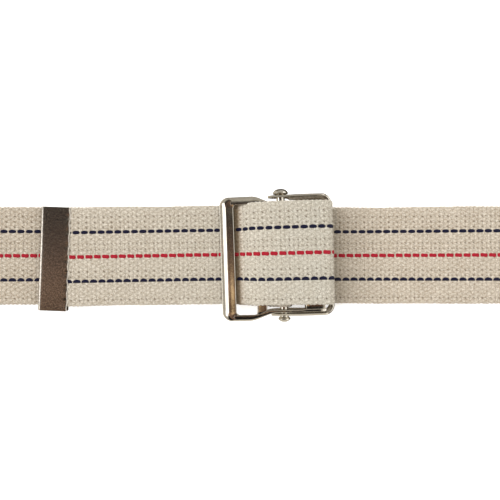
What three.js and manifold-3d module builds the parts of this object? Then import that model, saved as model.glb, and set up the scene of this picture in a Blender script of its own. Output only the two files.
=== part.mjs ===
// A gait belt: one length of woven cotton webbing, fastened into a loop by a two-piece metal lever buckle and laid
// flat, buckle up. Millimetres, +Z up, +X along the belt. The finished group stands on Z = 0 with the middle of its
// box over the origin.
//
// The belt's fixed end comes from the left, goes round the buckle's pivot, folds back under itself and is sewn
// down. The free end comes from the right under the stirrup's back wall, turns up between the wall and the lever's
// toothed jaw, runs left over the jaw, the pivot and the middle bar, goes under the front bar and ends as the tail,
// with its crimped metal tip, over the fixed end.
import * as THREE from "three";
import { mergeVertices } from "three/addons/utils/BufferGeometryUtils.js";
import Module from "manifold-3d";

const wasm = await Module();
wasm.setup();

// ---- Driving dimensions -------------------------------------------------------------------------------------

const WEB_WIDTH = 50.8;
const WEB_THICK = 2.0;
const PLY_GAP = 0.3; // between two plies that lie on each other
const SEAM_GAP = 0.3; // between two lengths of the same webbing, end to end
const TURNED_SEAM_GAP = 1.1; // the same, where one of them is turned with the buckle
const BUCKLE_TURN = THREE.MathUtils.degToRad(1.9); // the buckle lies a little askew on the belt
const BUCKLE_TURN_X = 20; // the point on the belt's middle line that it turns about
const SPAN_TURN = THREE.MathUtils.degToRad(1.6); // and so does the webbing over it
const SPAN_TURN_X = -17;
const TAIL_TURN = THREE.MathUtils.degToRad(1.0);
const TAIL_TURN_X = -29;
const TIP_TURN = THREE.MathUtils.degToRad(-2.1);

// Heights of the middle of each ply of webbing.
const RETURN_Z = WEB_THICK / 2;
const PLY_STEP = WEB_THICK + PLY_GAP;
const FOLD_BACK_Z = RETURN_Z + PLY_STEP;
const FIXED_Z = FOLD_BACK_Z + PLY_STEP;
const STRAND_Z = 7.8; // where the front strands have left the buckle behind
const TAIL_Z = 10.2;

// The laid-flat loop.
const LOOP_HALF = 275.5; // outermost middle line of each end bend
const BEND_TOP_Z = 30;
const RETURN_HALF = LOOP_HALF - 34; // where the return strand starts to curl up
const BEND_FROM = LOOP_HALF - 74; // where the end bend starts to dip from its crown towards the buckle
const STRAND_END = 131;

// The fixed end's sewn fold, and the tail's soft hinge line.
const FOLD_FROM = -6;
const FOLD_TO = -76;
const TAIL_HINGE_X = -58;

// The pivot, about which the lever turns. The pin runs across the belt.
const PIVOT_X = 16.8;
const PIVOT_Z = 13.8;
const PIN_R = 2.15;
const PIN_CLEARANCE = 0.08;
const EYE_CLEARANCE = 0.15; // between the pin and the webbing looped round it
const EYE_SHIFT_Y = -0.5; // the webbing's eye sits between the lever's ears

// The lever: front bar, middle bar, rails, ears and toothed jaw, as distances from the pivot along the belt.
const FRONT_BAR = [-30.7, -23.5];
const MIDDLE_BAR = [-14.0, -8.8];
const JAW = [10.3, 21.2];
const FRONT_BAR_Z = [11.4, 14.3];
const MIDDLE_BAR_Z = [12.8, 16.0];
const JAW_Z = [12.4, 19.0];
const LEVER_SHIFT_Y = -1.0; // the lever has slid along the pin to the stirrup's near ear
const LEVER_HALF = 31.2;
const RAIL_WIDE = 2.9;
const RAIL_TALL = 3.0;
const LEVER_CORNER_R = 4.5;
const WINDOW_CORNER_R = 1.6;
const LEVER_EAR_HALF = 27.9;
const LEVER_EAR_THICK = 1.7;
const EAR_TALL = 8.4;
const TEETH = 12;
const TOOTH_LONG = 1.2;

// The stirrup: a flat strap bent into a U round the jaw, standing on its edge.
const STIRRUP_HALF = 30.7;
const STIRRUP_THICK = 1.4;
const STIRRUP_BACK = 25.6;
const STIRRUP_EAR_END = -6.8;
const STIRRUP_CORNER_R = 5;
const STIRRUP_EAR_R = 3.9;
const STIRRUP_TOP_Z = 19.2;
const STIRRUP_WALL_TOP_Z = 16.0;
const STIRRUP_BOTTOM_Z = 5.9;

// The rivet's two heads.
const HEAD_R = 3.7;
const HEAD_TALL = 2.6;
const ROLLED_R = 2.8;
const ROLLED_TALL = 2.9;

// The crimped metal tip on the tail.
const TIP_LONG = 15;
const TIP_WIDE = 53.2;
const TIP_SHEET = 0.45;
const TIP_LEFT_X = -109.2;
const TIP_TEETH = 7;
const TIP_BITE = 0.35;

// Stitching of the fixed end's fold.
const STITCH_ROWS_X = [-14, -18, -68, -72];
const THREAD_WIDE = 0.8;
const THREAD_TALL = 0.35;
const THREAD_CLEAR = 0.05;
const STITCH_LONG = 3.2;

// ---- Materials ----------------------------------------------------------------------------------------------

const cotton = new THREE.MeshStandardMaterial({ color: 0xd7cdb9, roughness: 0.95, metalness: 0 });
const thread = new THREE.MeshStandardMaterial({ color: 0xe4dccb, roughness: 0.8, metalness: 0 });
const nickel = new THREE.MeshStandardMaterial({ color: 0xb9b4aa, roughness: 0.18, metalness: 1 });
const tipSteel = new THREE.MeshStandardMaterial({ color: 0x8d8478, roughness: 0.3, metalness: 1 });

const belt = new THREE.Group();
const buckleGroup = turnedGroup(BUCKLE_TURN_X, BUCKLE_TURN);
const spanGroup = turnedGroup(SPAN_TURN_X, SPAN_TURN);
const tailGroup = turnedGroup(TAIL_TURN_X, TAIL_TURN);

// A group turned about a point on the belt's middle line. What is in it keeps its place along the belt.
function turnedGroup(x, angle) {
  const group = new THREE.Group();
  const shifted = new THREE.Group();
  group.position.x = x;
  group.rotation.z = angle;
  shifted.position.x = -x;
  group.add(shifted);
  belt.add(group);
  return shifted;
}

function addMesh(parent, name, geometry, material) {
  const mesh = new THREE.Mesh(geometry, material);
  mesh.name = name;
  parent.add(mesh);
  return mesh;
}

// ---- Solids -------------------------------------------------------------------------------------------------

function toManifold(geometry) {
  const bare = geometry.clone();
  bare.deleteAttribute("normal");
  bare.deleteAttribute("uv");
  const merged = mergeVertices(bare, 1e-4);
  return new wasm.Manifold(
    new wasm.Mesh({
      numProp: 3,
      vertProperties: merged.attributes.position.array,
      triVerts: new Uint32Array(merged.index.array),
    }),
  );
}

function toGeometry(manifold) {
  const mesh = manifold.getMesh();
  const geometry = new THREE.BufferGeometry();
  geometry.setAttribute("position", new THREE.BufferAttribute(mesh.vertProperties, 3));
  geometry.setIndex(new THREE.BufferAttribute(mesh.triVerts, 1));
  geometry.computeVertexNormals();
  return geometry;
}

// An outline in the X-Z plane, pushed out across the belt from y0 to y1.
function acrossBelt(shape, y0, y1, curveSegments = 12) {
  const geometry = new THREE.ExtrudeGeometry(shape, { depth: y1 - y0, bevelEnabled: false, curveSegments });
  geometry.rotateX(Math.PI / 2);
  geometry.translate(0, y1, 0);
  return geometry;
}

// An outline in the X-Y plane, pushed up from z0 to z1.
function upwards(shape, z0, z1, curveSegments = 8) {
  const geometry = new THREE.ExtrudeGeometry(shape, { depth: z1 - z0, bevelEnabled: false, curveSegments });
  geometry.translate(0, 0, z0);
  return geometry;
}

function box(x, y, z) {
  const geometry = new THREE.BoxGeometry(x[1] - x[0], y[1] - y[0], z[1] - z[0]);
  geometry.translate((x[0] + x[1]) / 2, (y[0] + y[1]) / 2, (z[0] + z[1]) / 2);
  return geometry;
}

function roundedRectangle(x0, y0, x1, y1, r) {
  const shape = new THREE.Shape();
  shape.moveTo(x0 + r, y0);
  shape.lineTo(x1 - r, y0);
  shape.absarc(x1 - r, y0 + r, r, -Math.PI / 2, 0, false);
  shape.lineTo(x1, y1 - r);
  shape.absarc(x1 - r, y1 - r, r, 0, Math.PI / 2, false);
  shape.lineTo(x0 + r, y1);
  shape.absarc(x0 + r, y1 - r, r, Math.PI / 2, Math.PI, false);
  shape.lineTo(x0, y0 + r);
  shape.absarc(x0 + r, y0 + r, r, Math.PI, 1.5 * Math.PI, false);
  return shape;
}

// ---- Webbing ------------------------------------------------------------------------------------------------

// The side outline of the stretch of a ply of webbing between two parameters of its middle line.
function plyOutline(curve, t0, t1, steps) {
  const upper = [];
  const lower = [];
  for (let i = 0; i <= steps; i++) {
    const t = t0 + ((t1 - t0) * i) / steps;
    const p = curve.getPoint(t);
    const along = curve.getTangent(t);
    const nx = (-along.y * WEB_THICK) / 2;
    const nz = (along.x * WEB_THICK) / 2;
    upper.push(new THREE.Vector2(p.x + nx, p.y + nz));
    lower.push(new THREE.Vector2(p.x - nx, p.y - nz));
  }
  return new THREE.Shape([...lower, ...upper.reverse()]);
}

// A run of webbing along one middle line, cut into named lengths. Each length goes from one point of the line to
// another, counted from 0, and a part of a number lies between two points.
function webbingRun(parent, points, lengths) {
  const curve = new THREE.SplineCurve(points.map(([x, z]) => new THREE.Vector2(x, z)));
  const last = points.length - 1;
  for (const [name, from, to, steps] of lengths) {
    const outline = plyOutline(curve, from / last, to / last, steps);
    addMesh(parent, name, acrossBelt(outline, -WEB_WIDTH / 2, WEB_WIDTH / 2), cotton);
  }
}

function webbing(parent, name, points, steps) {
  webbingRun(parent, points, [[name, 0, points.length - 1, steps]]);
}

function loopWebbing() {
  webbing(belt, "return_strand", [[-RETURN_HALF, RETURN_Z], [RETURN_HALF, RETURN_Z]], 1);
  for (const [side, sign] of [["left", -1], ["right", 1]]) {
    const bend = [
      [RETURN_HALF + SEAM_GAP, RETURN_Z],
      [LOOP_HALF - 22, 1.6],
      [LOOP_HALF - 10, 5.0],
      [LOOP_HALF - 2.5, 10.6],
      [LOOP_HALF, 17.4],
      [LOOP_HALF - 3, 24.2],
      [LOOP_HALF - 10, 28.4],
      [LOOP_HALF - 21, BEND_TOP_Z],
      [LOOP_HALF - 34, 29.2],
      [LOOP_HALF - 53, 25.8],
      [BEND_FROM + SEAM_GAP, 21.0],
    ];
    const strand = [
      [BEND_FROM, 21.0],
      [179, 16.2],
      [155, 11.6],
      [STRAND_END, STRAND_Z + 0.8],
    ];
    webbing(belt, `${side}_end_bend`, bend.map(([x, z]) => [sign * x, z]), 44);
    webbing(belt, `${side}_rising_strand`, strand.map(([x, z]) => [sign * x, z]), 8);
  }
}

// The fixed end: the strand from the left, its fold-back underneath, and the eye that holds the pin.
function fixedEndWebbing() {
  const strand = [
    [-STRAND_END + SEAM_GAP, STRAND_Z + 0.8],
    [-114, STRAND_Z - 0.2],
    [-96, 6.4],
    [FOLD_TO - SEAM_GAP, FIXED_Z],
  ];
  webbing(belt, "left_front_strand", strand, 8);
  webbing(belt, "fixed_end_top_ply", [[FOLD_TO, FIXED_Z], [FOLD_FROM - TURNED_SEAM_GAP, FIXED_Z]], 1);
  webbing(belt, "fixed_end_fold_back", [[FOLD_TO + 2, FOLD_BACK_Z], [FOLD_FROM - TURNED_SEAM_GAP, FOLD_BACK_Z]], 1);
  const eye = new THREE.Group();
  eye.position.y = EYE_SHIFT_Y;
  buckleGroup.add(eye);
  webbing(eye, "pivot_loop", [...eyeUpperPly(), ...eyeTurn(), ...eyeLowerPly()], 60);
}

function eyeUpperPly() {
  return [
    [FOLD_FROM, FIXED_Z],
    [-2.6, FIXED_Z + 0.3],
    [1.2, FIXED_Z + 1.7],
    [5.0, FIXED_Z + 3.9],
    [9.0, FIXED_Z + 6.7],
    [12.4, FIXED_Z + 9.1],
  ];
}

// Half a turn and a little more round the pin, clockwise seen from the front.
function eyeTurn() {
  const r = PIN_R + EYE_CLEARANCE + WEB_THICK / 2;
  const points = [];
  for (let degrees = 120; degrees >= -75; degrees -= 15) {
    const a = THREE.MathUtils.degToRad(degrees);
    points.push([PIVOT_X + r * Math.cos(a), PIVOT_Z + r * Math.sin(a)]);
  }
  return points;
}

function eyeLowerPly() {
  return [
    [14.0, 9.4],
    [10.0, 7.0],
    [6.0, 4.9],
    [2.0, FOLD_BACK_Z + 0.35],
    [-2.0, FOLD_BACK_Z],
    [FOLD_FROM, FOLD_BACK_Z],
  ];
}

// The free end: in from the right under the stirrup, up round the jaw, over the lever and under its front bar.
function freeEndWebbing() {
  const strand = [
    [STRAND_END - SEAM_GAP, STRAND_Z + 0.8],
    [114, STRAND_Z - 0.2],
    [90, 5.5],
    [70, 3.9],
    [56, FOLD_BACK_Z],
    [48, FOLD_BACK_Z],
  ];
  const overBuckle = [
    [48 - TURNED_SEAM_GAP, FOLD_BACK_Z],
    [44.4, FOLD_BACK_Z],
    [41.5, FOLD_BACK_Z + 0.3],
    [39.8, FOLD_BACK_Z + 1.6],
    [39.4, FOLD_BACK_Z + 4.4],
    [39.5, FOLD_BACK_Z + 9],
    [39.5, FOLD_BACK_Z + 12.3],
    [40.4, FOLD_BACK_Z + 15.2],
    [38.8, FOLD_BACK_Z + 17.1],
    [34, FOLD_BACK_Z + 17.3],
    [24, FOLD_BACK_Z + 16.9],
    [12, FOLD_BACK_Z + 15.9],
    [5.8, FOLD_BACK_Z + 14.7],
    [1.0, FOLD_BACK_Z + 12.6],
    [-3.6, FOLD_BACK_Z + 8.6],
    [-8.6, TAIL_Z - 0.2],
    [-15, TAIL_Z - 0.3],
    [-21, TAIL_Z - 0.1],
  ];
  const jawTop = 9;
  webbing(belt, "right_front_strand", strand, 10);
  webbingRun(spanGroup, overBuckle, [
    ["jaw_turn", 0, jawTop, 28],
    ["front_span", jawTop + 0.04, overBuckle.length - 1, 34],
  ]);
}

function tailWebbing() {
  const near = [
    [-22, TAIL_Z - 0.1],
    [-40, TAIL_Z],
    [TAIL_HINGE_X, TAIL_Z],
  ];
  webbing(tailGroup, "tail_near_buckle", near, 6);
  webbing(tailGroup, "tail_end", [[TAIL_HINGE_X - SEAM_GAP, TAIL_Z], [TIP_LEFT_X + 3, TAIL_Z]], 1);
}

// ---- Metal tip ----------------------------------------------------------------------------------------------

// The tip is a strip of sheet folded over the tail's cut end, closed by a row of teeth crimped into the webbing.
function strapTip() {
  const inside = WEB_THICK / 2 + 0.06;
  const outside = inside + TIP_SHEET;
  const right = TIP_LONG;
  const profile = new THREE.Shape();
  profile.moveTo(right, outside);
  profile.lineTo(outside, outside);
  profile.absarc(outside, 0, outside, Math.PI / 2, 1.5 * Math.PI, false);
  profile.lineTo(right, -outside);
  profile.lineTo(right, -inside);
  profile.lineTo(outside, -inside);
  profile.absarc(outside, 0, inside, 1.5 * Math.PI, Math.PI / 2, true);
  profile.lineTo(right, inside);
  const folded = acrossBelt(profile, -TIP_WIDE / 2, TIP_WIDE / 2, 8);
  let solid = toManifold(folded);
  const pitch = WEB_WIDTH / TIP_TEETH;
  for (let i = 0; i < TIP_TEETH; i++) {
    const y = -WEB_WIDTH / 2 + (i + 0.5) * pitch;
    for (const face of [1, -1]) {
      const z = [face * (outside - 0.02), face * (outside + TIP_BITE)].sort((a, b) => a - b);
      solid = solid.add(toManifold(box([right - 1.3, right - 0.1], [y - pitch * 0.3, y + pitch * 0.3], z)));
    }
  }
  const tip = addMesh(tailGroup, "strap_tip", toGeometry(solid), tipSteel);
  tip.position.set(TIP_LEFT_X, 0, TAIL_Z);
  tip.rotation.z = TIP_TURN - TAIL_TURN;
}

// ---- Buckle -------------------------------------------------------------------------------------------------

// The ring of metal round the lever's two bars: front bar, middle bar and rails, seen from above. Its rails sweep
// in to the ears behind the middle bar.
function leverRing() {
  const [front, back] = [FRONT_BAR[0], MIDDLE_BAR[1]];
  const half = LEVER_HALF;
  const r = LEVER_CORNER_R;
  const ear = LEVER_EAR_HALF;
  const sweep = back - 8;
  const outer = new THREE.Shape();
  outer.moveTo(front + r, -half);
  outer.lineTo(sweep, -half);
  outer.bezierCurveTo(back - 3, -half, back - 3, -ear, back + 1.5, -ear);
  outer.lineTo(back, -ear + LEVER_EAR_THICK + 0.8);
  outer.lineTo(back, ear - LEVER_EAR_THICK - 0.8);
  outer.lineTo(back + 1.5, ear);
  outer.bezierCurveTo(back - 3, ear, back - 3, half, sweep, half);
  outer.lineTo(front + r, half);
  outer.absarc(front + r, half - r, r, Math.PI / 2, Math.PI, false);
  outer.lineTo(front, -half + r);
  outer.absarc(front + r, -half + r, r, Math.PI, 1.5 * Math.PI, false);
  const window = half - RAIL_WIDE;
  outer.holes.push(roundedRectangle(FRONT_BAR[1], -window, MIDDLE_BAR[0], window, WINDOW_CORNER_R));
  return toManifold(upwards(outer, 0, RAIL_TALL));
}

// Tilts the ring so that the front bar lies low and the middle bar high.
function tiltedRing() {
  const run = (MIDDLE_BAR[0] + MIDDLE_BAR[1] - FRONT_BAR[0] - FRONT_BAR[1]) / 2;
  const rise = MIDDLE_BAR_Z[0] - FRONT_BAR_Z[0];
  const geometry = toGeometry(leverRing());
  geometry.translate(-FRONT_BAR[0], 0, 0);
  geometry.rotateY(-Math.atan2(rise, run));
  geometry.translate(FRONT_BAR[0], 0, FRONT_BAR_Z[0] - 0.4 - PIVOT_Z);
  return toManifold(geometry);
}

// One ear of the lever: a thin upright plate from the middle bar, round the pin, to the jaw.
function leverEar(y0, y1) {
  const r = EAR_TALL / 2;
  const side = new THREE.Shape();
  side.moveTo(MIDDLE_BAR[0] + 0.6, MIDDLE_BAR_Z[0] - PIVOT_Z + 0.4);
  side.lineTo(MIDDLE_BAR[1], MIDDLE_BAR_Z[0] - PIVOT_Z);
  side.quadraticCurveTo(-6, -r, 0, -r);
  side.quadraticCurveTo(5, -r, JAW[0], JAW_Z[0] - PIVOT_Z);
  side.lineTo(JAW[1] - 3.4, JAW_Z[0] - PIVOT_Z);
  side.lineTo(JAW[1], JAW_Z[1] - PIVOT_Z - 3.0);
  side.lineTo(JAW[1] - 1.2, JAW_Z[1] - PIVOT_Z);
  side.lineTo(JAW[0], JAW_Z[1] - PIVOT_Z);
  side.quadraticCurveTo(5, r, 0, r);
  side.quadraticCurveTo(-5, r, MIDDLE_BAR[1], MIDDLE_BAR_Z[1] - PIVOT_Z);
  side.lineTo(MIDDLE_BAR[0] + 0.6, MIDDLE_BAR_Z[1] - PIVOT_Z - 0.4);
  return toManifold(acrossBelt(side, y0, y1, 6));
}

// The jaw block that spans the lever between its ears, with a row of teeth along its nose.
function leverJaw() {
  const z0 = JAW_Z[0] - PIVOT_Z;
  const z1 = JAW_Z[1] - PIVOT_Z;
  const half = LEVER_EAR_HALF - LEVER_EAR_THICK / 2;
  const side = new THREE.Shape();
  side.moveTo(JAW[0] + 1.2, z0);
  side.lineTo(JAW[1] - 3.4, z0);
  side.lineTo(JAW[1] - 0.8, z1 - 3.0);
  side.quadraticCurveTo(JAW[1] - 0.4, z1 - 0.4, JAW[1] - 3.2, z1);
  side.lineTo(JAW[0] + 1.6, z1);
  side.quadraticCurveTo(JAW[0], z1, JAW[0], z1 - 1.6);
  side.lineTo(JAW[0], z0 + 1.2);
  side.quadraticCurveTo(JAW[0], z0, JAW[0] + 1.2, z0);
  let jaw = toManifold(acrossBelt(side, -half, half, 5));
  const pitch = WEB_WIDTH / TEETH;
  for (let i = 0; i < TEETH; i++) {
    const tooth = new THREE.Shape();
    const y = -WEB_WIDTH / 2 + (i + 0.5) * pitch;
    tooth.moveTo(JAW[1] - 2.4, y - pitch * 0.42);
    tooth.lineTo(JAW[1] + TOOTH_LONG - 0.8, y);
    tooth.lineTo(JAW[1] - 2.4, y + pitch * 0.42);
    jaw = jaw.add(toManifold(upwards(tooth, z1 - 3.6, z1 - 2.2, 1)));
  }
  return jaw;
}

function pinHole(y0, y1) {
  const hole = new THREE.CylinderGeometry(PIN_R + PIN_CLEARANCE, PIN_R + PIN_CLEARANCE, y1 - y0, 32);
  hole.translate(0, (y0 + y1) / 2, 0);
  return toManifold(hole);
}

function lever(parent) {
  let solid = tiltedRing();
  for (const side of [1, -1]) {
    const y = [side * (LEVER_EAR_HALF - LEVER_EAR_THICK), side * LEVER_EAR_HALF].sort((a, b) => a - b);
    solid = solid.add(leverEar(y[0], y[1]));
  }
  solid = solid.add(leverJaw()).subtract(pinHole(-STIRRUP_HALF, STIRRUP_HALF));
  const mesh = addMesh(parent, "lever", toGeometry(solid), nickel);
  mesh.position.y = LEVER_SHIFT_Y;
}

// The stirrup seen from above: two arms and the back wall, with rounded corners.
function stirrupPlan() {
  const outer = STIRRUP_HALF;
  const inner = STIRRUP_HALF - STIRRUP_THICK;
  const back = STIRRUP_BACK;
  const r = STIRRUP_CORNER_R;
  const ri = r - STIRRUP_THICK;
  const plan = new THREE.Shape();
  plan.moveTo(STIRRUP_EAR_END, -outer);
  plan.lineTo(back - r, -outer);
  plan.absarc(back - r, -outer + r, r, -Math.PI / 2, 0, false);
  plan.lineTo(back, outer - r);
  plan.absarc(back - r, outer - r, r, 0, Math.PI / 2, false);
  plan.lineTo(STIRRUP_EAR_END, outer);
  plan.lineTo(STIRRUP_EAR_END, inner);
  plan.lineTo(back - r, inner);
  plan.absarc(back - r, inner - ri, ri, Math.PI / 2, 0, true);
  plan.lineTo(back - STIRRUP_THICK, -inner + ri);
  plan.absarc(back - r, -inner + ri, ri, 0, -Math.PI / 2, true);
  plan.lineTo(STIRRUP_EAR_END, -inner);
  return upwards(plan, STIRRUP_BOTTOM_Z - PIVOT_Z, STIRRUP_TOP_Z - PIVOT_Z, 6);
}

// The stirrup's side outline: narrow round ears at the pin, deep at the back wall.
function stirrupSide() {
  const top = STIRRUP_TOP_Z - PIVOT_Z;
  const bottom = STIRRUP_BOTTOM_Z - PIVOT_Z;
  const r = -STIRRUP_EAR_END;
  const ear = STIRRUP_EAR_R;
  const side = new THREE.Shape();
  side.moveTo(STIRRUP_BACK + 1, bottom);
  side.lineTo(STIRRUP_BACK + 1, STIRRUP_WALL_TOP_Z - PIVOT_Z);
  side.lineTo(STIRRUP_BACK - STIRRUP_THICK, STIRRUP_WALL_TOP_Z - PIVOT_Z);
  side.quadraticCurveTo(STIRRUP_BACK - 3, top, STIRRUP_BACK - 7, top);
  side.lineTo(JAW[0], top);
  side.quadraticCurveTo(4, ear, 0, ear);
  side.quadraticCurveTo(-r, ear, -r, 0);
  side.quadraticCurveTo(-r, -ear, 0, -ear);
  side.quadraticCurveTo(5, -ear - 0.3, JAW[0], -ear - 2.2);
  side.lineTo(STIRRUP_BACK - 5, bottom);
  return acrossBelt(side, -STIRRUP_HALF - 1, STIRRUP_HALF + 1, 8);
}

function stirrup(parent) {
  const solid = toManifold(stirrupPlan())
    .intersect(toManifold(stirrupSide()))
    .subtract(pinHole(-STIRRUP_HALF - 1, STIRRUP_HALF + 1));
  addMesh(parent, "stirrup", toGeometry(solid), nickel);
}

// The rivet that pins the lever in the stirrup: a domed head at one end, rolled over at the other.
function pivotRivet(parent) {
  const half = STIRRUP_HALF + 0.3;
  const profile = [
    [0, -half - ROLLED_TALL + 0.9],
    [1.0, -half - ROLLED_TALL + 0.5],
    [1.9, -half - ROLLED_TALL],
    [ROLLED_R - 0.1, -half - ROLLED_TALL + 0.7],
    [ROLLED_R, -half - 0.8],
    [PIN_R + 0.1, -half],
    [PIN_R, -half + 0.1],
    [PIN_R, half],
    [HEAD_R, half],
    [HEAD_R, half + 0.5],
    [HEAD_R * 0.86, half + HEAD_TALL * 0.55],
    [HEAD_R * 0.52, half + HEAD_TALL * 0.9],
    [0, half + HEAD_TALL],
  ];
  const rivet = new THREE.LatheGeometry(profile.map(([r, y]) => new THREE.Vector2(r, y)), 32);
  addMesh(parent, "pivot_rivet", rivet, nickel);
}

function buckle() {
  const atPivot = new THREE.Group();
  atPivot.position.set(PIVOT_X, 0, PIVOT_Z);
  buckleGroup.add(atPivot);
  lever(atPivot);
  stirrup(atPivot);
  pivotRivet(atPivot);
}

// ---- Stitching ----------------------------------------------------------------------------------------------

// A row of lockstitching across the sewn fold: one thread that humps over the webbing at each stitch.
function stitchRow(name, x) {
  const base = FIXED_Z + WEB_THICK / 2 + THREAD_CLEAR;
  const half = WEB_WIDTH / 2 - 4;
  const stitches = Math.round((2 * half) / STITCH_LONG);
  const pitch = (2 * half) / stitches;
  const side = new THREE.Shape();
  side.moveTo(-half, base);
  side.lineTo(half, base);
  for (let i = stitches - 1; i >= 0; i--) {
    const y = -half + i * pitch;
    side.lineTo(y + pitch, base + THREAD_TALL * 0.4);
    side.lineTo(y + pitch * 0.75, base + THREAD_TALL);
    side.lineTo(y + pitch * 0.25, base + THREAD_TALL);
  }
  side.lineTo(-half, base + THREAD_TALL * 0.4);
  const row = acrossBelt(side, -THREAD_WIDE / 2, THREAD_WIDE / 2, 1);
  row.rotateZ(Math.PI / 2);
  row.translate(x, 0, 0);
  addMesh(belt, name, row, thread);
}

loopWebbing();
fixedEndWebbing();
freeEndWebbing();
tailWebbing();
strapTip();
buckle();
STITCH_ROWS_X.forEach((x, i) => stitchRow(`stitch_row_${i + 1}`, x));

// Stand the group on Z = 0 with the middle of its box over the origin.
belt.updateMatrixWorld(true);
const extent = new THREE.Box3().setFromObject(belt, true);
const middle = extent.getCenter(new THREE.Vector3());
belt.position.set(-middle.x, -middle.y, -extent.min.z);

export default belt;
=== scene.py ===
import math

import bpy
import numpy as np
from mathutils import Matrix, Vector


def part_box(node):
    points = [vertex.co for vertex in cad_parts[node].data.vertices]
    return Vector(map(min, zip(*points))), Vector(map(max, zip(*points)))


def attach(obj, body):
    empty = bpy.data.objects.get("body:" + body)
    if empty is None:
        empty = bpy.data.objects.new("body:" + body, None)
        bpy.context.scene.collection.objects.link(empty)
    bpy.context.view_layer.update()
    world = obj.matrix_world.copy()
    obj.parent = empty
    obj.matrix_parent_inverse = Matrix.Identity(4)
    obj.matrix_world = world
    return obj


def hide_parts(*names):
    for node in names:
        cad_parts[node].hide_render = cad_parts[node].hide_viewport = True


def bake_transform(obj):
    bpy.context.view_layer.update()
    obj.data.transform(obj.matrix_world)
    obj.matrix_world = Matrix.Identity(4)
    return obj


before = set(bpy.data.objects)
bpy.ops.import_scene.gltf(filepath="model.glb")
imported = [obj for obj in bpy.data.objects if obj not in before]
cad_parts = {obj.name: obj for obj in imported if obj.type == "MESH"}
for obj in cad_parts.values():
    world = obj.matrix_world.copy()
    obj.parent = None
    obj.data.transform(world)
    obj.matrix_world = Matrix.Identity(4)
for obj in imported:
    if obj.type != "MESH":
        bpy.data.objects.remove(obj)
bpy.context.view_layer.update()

MM = 0.001

# ---- The belt's own frame, in millimetres: middle line along X at y = 0, floor at z = 0 ----

low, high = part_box("return_strand")
BELT_Y = (low[1] + high[1]) / 2
WEB_HALF = 25.4

# Heights of the middle of each ply.
RETURN_Z = 1.0
FOLD_BACK_Z = 3.3
FIXED_Z = 5.6
STRAND_Z = 7.8
TAIL_Z = 10.2

LOOP_HALF = 275.5
RETURN_HALF = LOOP_HALF - 34
BEND_FROM = LOOP_HALF - 74
STRAND_END = 131
FOLD_TO = -76
TAIL_HINGE_X = -58
TIP_LEFT_X = -109.2
PIVOT_X = 16.8
PIVOT_Z = 13.8
EYE_R = 3.3

# Parts of the belt lie askew: degrees, the place on the middle line they turn about, and a side shift.
STRAIGHT = (0.0, 0.0, 0.0)
BUCKLE = (1.9, 20.0, 0.0)
EYE = (1.9, 20.0, -0.5)
SPAN = (1.6, -17.0, 0.1)
LEFT = (0.0, 0.0, -0.4)
RIGHT = (0.25, 131.0, 0.0)
TAIL = (1.0, -29.0, 0.0)


def turned(points, lie):
    """Points of one of the askew groups, in the belt's frame."""
    degrees, about, shift = lie
    a = math.radians(degrees)
    p = np.array(points, float)
    x, y = p[:, 0] - about, p[:, 1] + shift
    out = p.copy()
    out[:, 0] = about + x * math.cos(a) - y * math.sin(a)
    out[:, 1] = x * math.sin(a) + y * math.cos(a)
    return out


def to_world(points):
    """Millimetres in the belt's frame to metres in the scene."""
    return np.asarray(points, float) * MM + np.array([0.0, BELT_Y, 0.0])


# ---- The webbing's route, from the sewn-down end round the whole loop to the tail's tip ----

def catmull_rom(points, step=0.25):
    """Points about step apart on the smooth curve through the given ones."""
    p = np.array(points, float)
    n = len(p)
    out = []
    for i in range(n - 1):
        a, b, c, d = p[max(i - 1, 0)], p[i], p[i + 1], p[min(i + 2, n - 1)]
        m0, m1 = (c - a) / 2, (d - b) / 2
        count = max(2, int(np.linalg.norm(c - b) / step))
        t = np.arange(count)[:, None] / count
        out.append((2 * b - 2 * c + m0 + m1) * t**3 + (-3 * b + 3 * c - 2 * m0 - m1) * t**2 + m0 * t + b)
    out.append(p[-1:])
    return np.vstack(out)


def end_bend(sign):
    """From the return strand up and over to where the strand dips towards the buckle."""
    bend = [
        (LOOP_HALF - 34, RETURN_Z), (LOOP_HALF - 22, 1.6), (LOOP_HALF - 10, 5.0), (LOOP_HALF - 2.5, 10.6),
        (LOOP_HALF, 17.4), (LOOP_HALF - 3, 24.2), (LOOP_HALF - 10, 28.4), (LOOP_HALF - 21, 30.0),
        (LOOP_HALF - 34, 29.2), (LOOP_HALF - 53, 25.8), (BEND_FROM, 21.0), (179, 16.2), (155, 11.6),
        (STRAND_END, STRAND_Z + 0.8), (114, STRAND_Z - 0.2),
    ]
    return [(sign * x, z) for x, z in bend]


def eye_turn():
    """Round the pin from below to above."""
    angles = [math.radians(d) for d in range(-75, 121, 15)]
    return [(PIVOT_X + EYE_R * math.cos(a), PIVOT_Z + EYE_R * math.sin(a)) for a in angles]


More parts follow.
